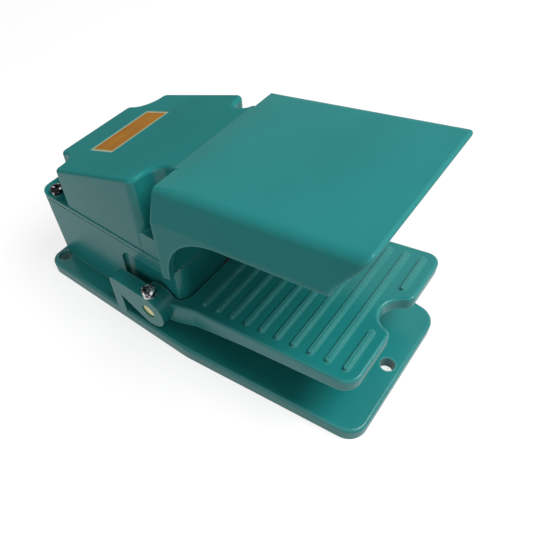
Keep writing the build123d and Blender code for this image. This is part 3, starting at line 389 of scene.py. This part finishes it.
# cover screws nearly black and washers pale: painted dark reflection and painted glints in their base colour
darkScrews = platedFinish(plated, "darkScrews")
washerPlate = platedFinish(plated, "washerPlate")
ownFinish = {                                   # nodes that look different from the rest of their slot
    "cover_screws_rear": darkScrews,
    "cover_screws_front": darkScrews,
    "cover_washers": washerPlate,
    "ear_flat_washers": washerPlate,
    "ear_spring_washers": washerPlate,
}

slotOf = {part["node"]: part["material_slot"] for part in frame["record"]["subparts"]}
for nodeName, solid in frame["nodes"].items():
    solid.data.materials.clear()
    solid.data.materials.append(ownFinish.get(nodeName, finishes[slotOf[nodeName]]))
print("stage: finishes on", len(frame["nodes"]), "nodes")


# Blended seam between the hood and the sloping roof, laid into the slit that the cover's solid has there

roofSeam = {
    "roofAt": (0.1121, 0.0847, 20.24),          # a point of the roof's slope as Y and Z, and its angle
    "hoodAt": (-0.1082, 0.1468, 11.02),         # the same for the hood
    "bend": 0.090,                              # radius of the bend where they meet
    "across": (-0.0325, 0.0325),
    "along": (0.0058, 0.0096),
    "slit": (0.0071, 0.0083),                   # Y of the slit's two sides
    "depth": 0.0032,                            # how deep the strip dips into the slit
    "skin": 0.00008,                            # and how thick it is beside the slit
    "proud": 0.00002,
    "steps": (48, 24),
}


def roofHeight(s, y):
    # height of the cover's upper face at depth y:
    # the hood's plane, then an arc tangent to both planes, then the roof's plane
    (roofY, roofZ, roofAngle), (hoodY, hoodZ, hoodAngle) = s["roofAt"], s["hoodAt"]
    roofTurn, hoodTurn = math.radians(roofAngle), math.radians(hoodAngle)
    roofFall, hoodFall = math.tan(roofTurn), math.tan(hoodTurn)
    meetY = (roofZ + roofFall * roofY - hoodZ - hoodFall * hoodY) / (roofFall - hoodFall)
    meetZ = hoodZ - hoodFall * (meetY - hoodY)
    middle = (roofTurn + hoodTurn) / 2
    toCentre = s["bend"] / math.cos((roofTurn - hoodTurn) / 2)
    centreY, centreZ = meetY - toCentre * math.sin(middle), meetZ - toCentre * math.cos(middle)
    arc = centreZ + np.sqrt(np.maximum(s["bend"] ** 2 - (y - centreY) ** 2, 0))
    first = centreY + s["bend"] * math.sin(hoodTurn)
    last = centreY + s["bend"] * math.sin(roofTurn)
    plane = np.where(y < first, hoodZ - hoodFall * (y - hoodY), roofZ - roofFall * (y - roofY))
    return np.where((y > first) & (y < last), arc, plane)


def closedStrip(name, grid):
    # a closed profile (second axis of the grid) carried along the first axis, with flat ends
    runs, ring = grid.shape[:2]
    a, b = np.meshgrid(np.arange(runs - 1), np.arange(ring), indexing="ij")
    nextB = (b + 1) % ring
    quads = np.stack([a * ring + b, a * ring + nextB, (a + 1) * ring + nextB, (a + 1) * ring + b], -1)
    ends = [list(range(ring))[::-1], list(range((runs - 1) * ring, runs * ring))]
    mesh = bpy.data.meshes.new(name)
    mesh.from_pydata(grid.reshape(-1, 3).tolist(), [], quads.reshape(-1, 4).tolist() + ends)
    mesh.update()
    piece = bpy.data.objects.new(name, mesh)
    bpy.context.scene.collection.objects.link(piece)
    return piece


def makeRoofSeam(s):
    # the upper line follows roofHeight a hair proud of it, and the lower line dips into the slit
    xSteps, ySteps = s["steps"]
    x, y = np.linspace(*s["across"], xSteps), np.linspace(*s["along"], ySteps)
    top = roofHeight(s, y)
    inSlit = (y > s["slit"][0]) & (y < s["slit"][1])
    bottom = top - np.where(inSlit, s["depth"], s["skin"])
    ringY = np.concatenate([y, y[::-1]])
    ringZ = np.concatenate([top + s["proud"], bottom[::-1]])
    grid = np.empty((xSteps, ringY.size, 3))
    grid[..., 0], grid[..., 1], grid[..., 2] = x[:, None], ringY, ringZ
    piece = closedStrip("roof_seam", grid)
    upper = np.zeros(len(piece.data.polygons), bool)
    upper[:(xSteps - 1) * ringY.size] = np.tile(np.arange(ringY.size) < ySteps - 1, xSteps - 1)
    piece.data.polygons.foreach_set("use_smooth", upper)
    piece.data.materials.append(finishes["green_paint"])
    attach(piece, "housing")


makeRoofSeam(roofSeam)
print("stage: roof seam")


# Return spring over the lever, built as a fixed coil; the real one shortens as the pedal goes down

returnSpring = {
    "wire": 0.0014,
    "turns": 7,
    "flatEnds": 0.10,                           # share of the turns at each end that lies nearly flat
    "evenRise": 0.1,                            # share of the height that is climbed at one pace
    "lift": 0.0100,                             # how far its lower end rises at full travel
    "steps": (200, 10),
}


def makeReturnSpring(s):
    # a helix that climbs slowly at both ends and evenly between, with a round wire carried along it
    low, high = (np.array(c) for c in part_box("return_spring"))
    middle = (low + high) / 2
    radius = (high[0] - low[0] - s["wire"]) / 2
    alongSteps, roundSteps = s["steps"]
    t = np.linspace(0, 1, alongSteps)
    climb = np.clip((t - s["flatEnds"]) / (1 - 2 * s["flatEnds"]), 0, 1)
    rise = climb * (1 - s["evenRise"]) + t * s["evenRise"]
    angle = 2 * math.pi * s["turns"] * t
    height = high[2] - low[2] - s["wire"]
    path = np.stack([middle[0] + radius * np.cos(angle), middle[1] + radius * np.sin(angle),
                     low[2] + s["wire"] / 2 + height * rise], -1)
    outward = np.stack([np.cos(angle), np.sin(angle), np.zeros_like(angle)], -1)
    forward = np.gradient(path, axis=0)
    forward /= np.linalg.norm(forward, axis=1, keepdims=True)
    upward = np.cross(forward, outward)
    around = np.linspace(0, 2 * math.pi, roundSteps, endpoint=False)[None, :, None]
    circle = np.cos(around) * outward[:, None] + np.sin(around) * upward[:, None]
    piece = closedStrip("spring_coil", path[:, None] + circle * s["wire"] / 2)
    piece.data.polygons.foreach_set("use_smooth", np.ones(len(piece.data.polygons), bool))
    piece.data.materials.append(finishes["spring_steel"])
    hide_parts("return_spring")
    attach(piece, "housing")
    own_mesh(piece)


makeReturnSpring(returnSpring)
print("stage: return spring")


# Floor, world and lamps

studio = {
    "reach": 6.0,                               # half the floor's side
    "floorColour": colour(0.30, 0.30, 0.30),
    "floorGlow": 0.78,                          # brings the floor that is seen up to white
    "floorBounce": colour(0.48, 0.48, 0.48),    # the floor as it throws light back
    "skyColour": colour(1, 1, 1),
    "skyLight": 0.20,
    "lamps": [                                  # place, size, watts
        ((0.28, -0.66, 1.20), 0.7, 17.5),
        ((-1.10, -0.10, 0.45), 0.7, 2.2),
    ],
    "aim": (0, 0, 0.06),
}


def seenRays(place):
    # 1 for what the camera, a mirror or glass sees, 0 for light that falls on things
    path = place.node("ShaderNodeLightPath")
    camera, glossy, glass = path.others("Is Camera Ray", "Is Glossy Ray", "Is Transmission Ray")
    return place.maths("MAXIMUM", place.maths("MAXIMUM", camera, glossy), glass)


def makeFloor(s):
    material, place = newFinish("paleFloor")
    matt = place.node("ShaderNodeBsdfDiffuse", sockets={"Color": s["floorColour"]})
    glow = place.node("ShaderNodeEmission", sockets={"Strength": s["floorGlow"]})
    shown = place.node("ShaderNodeAddShader", sockets={0: matt, 1: glow})
    bounce = place.node("ShaderNodeBsdfDiffuse", sockets={"Color": s["floorBounce"]})
    both = place.node("ShaderNodeMixShader", sockets={0: seenRays(place), 1: bounce, 2: shown})
    place.node("ShaderNodeOutputMaterial", sockets={"Surface": both})
    r = s["reach"]
    sheet = bpy.data.meshes.new("floor")
    sheet.from_pydata([(-r, -r, 0), (r, -r, 0), (r, r, 0), (-r, r, 0)], [], [(0, 1, 2, 3)])
    sheet.materials.append(material)
    floor = bpy.data.objects.new("floor", sheet)
    bpy.context.scene.collection.objects.link(floor)


def makeWorld(s):
    # white where it is seen, and a weak sky for the light that falls on things
    world = bpy.data.worlds.new("studio")
    world.use_nodes = True
    world.node_tree.nodes.clear()
    sky = Wire(world.node_tree)
    seen = seenRays(sky)
    strength = seen + (1 - seen) * s["skyLight"]
    air = sky.node("ShaderNodeBackground", sockets={"Color": s["skyColour"], "Strength": strength})
    sky.node("ShaderNodeOutputWorld", sockets={"Surface": air})
    bpy.context.scene.world = world


def makeLamps(s):
    for i, (spot, size, watts) in enumerate(s["lamps"], 1):
        data = bpy.data.lights.new("softbox" + str(i), "AREA")
        data.size, data.energy = size, watts
        lamp = bpy.data.objects.new(data.name, data)
        lamp.location = spot
        lamp.rotation_mode = "QUATERNION"
        lamp.rotation_quaternion = (Vector(s["aim"]) - Vector(spot)).to_track_quat("-Z", "Y")
        bpy.context.scene.collection.objects.link(lamp)


makeFloor(studio)
makeWorld(studio)
makeLamps(studio)
bpy.context.scene.view_settings.view_transform = "Standard"
print("stage: floor, world and lamps")
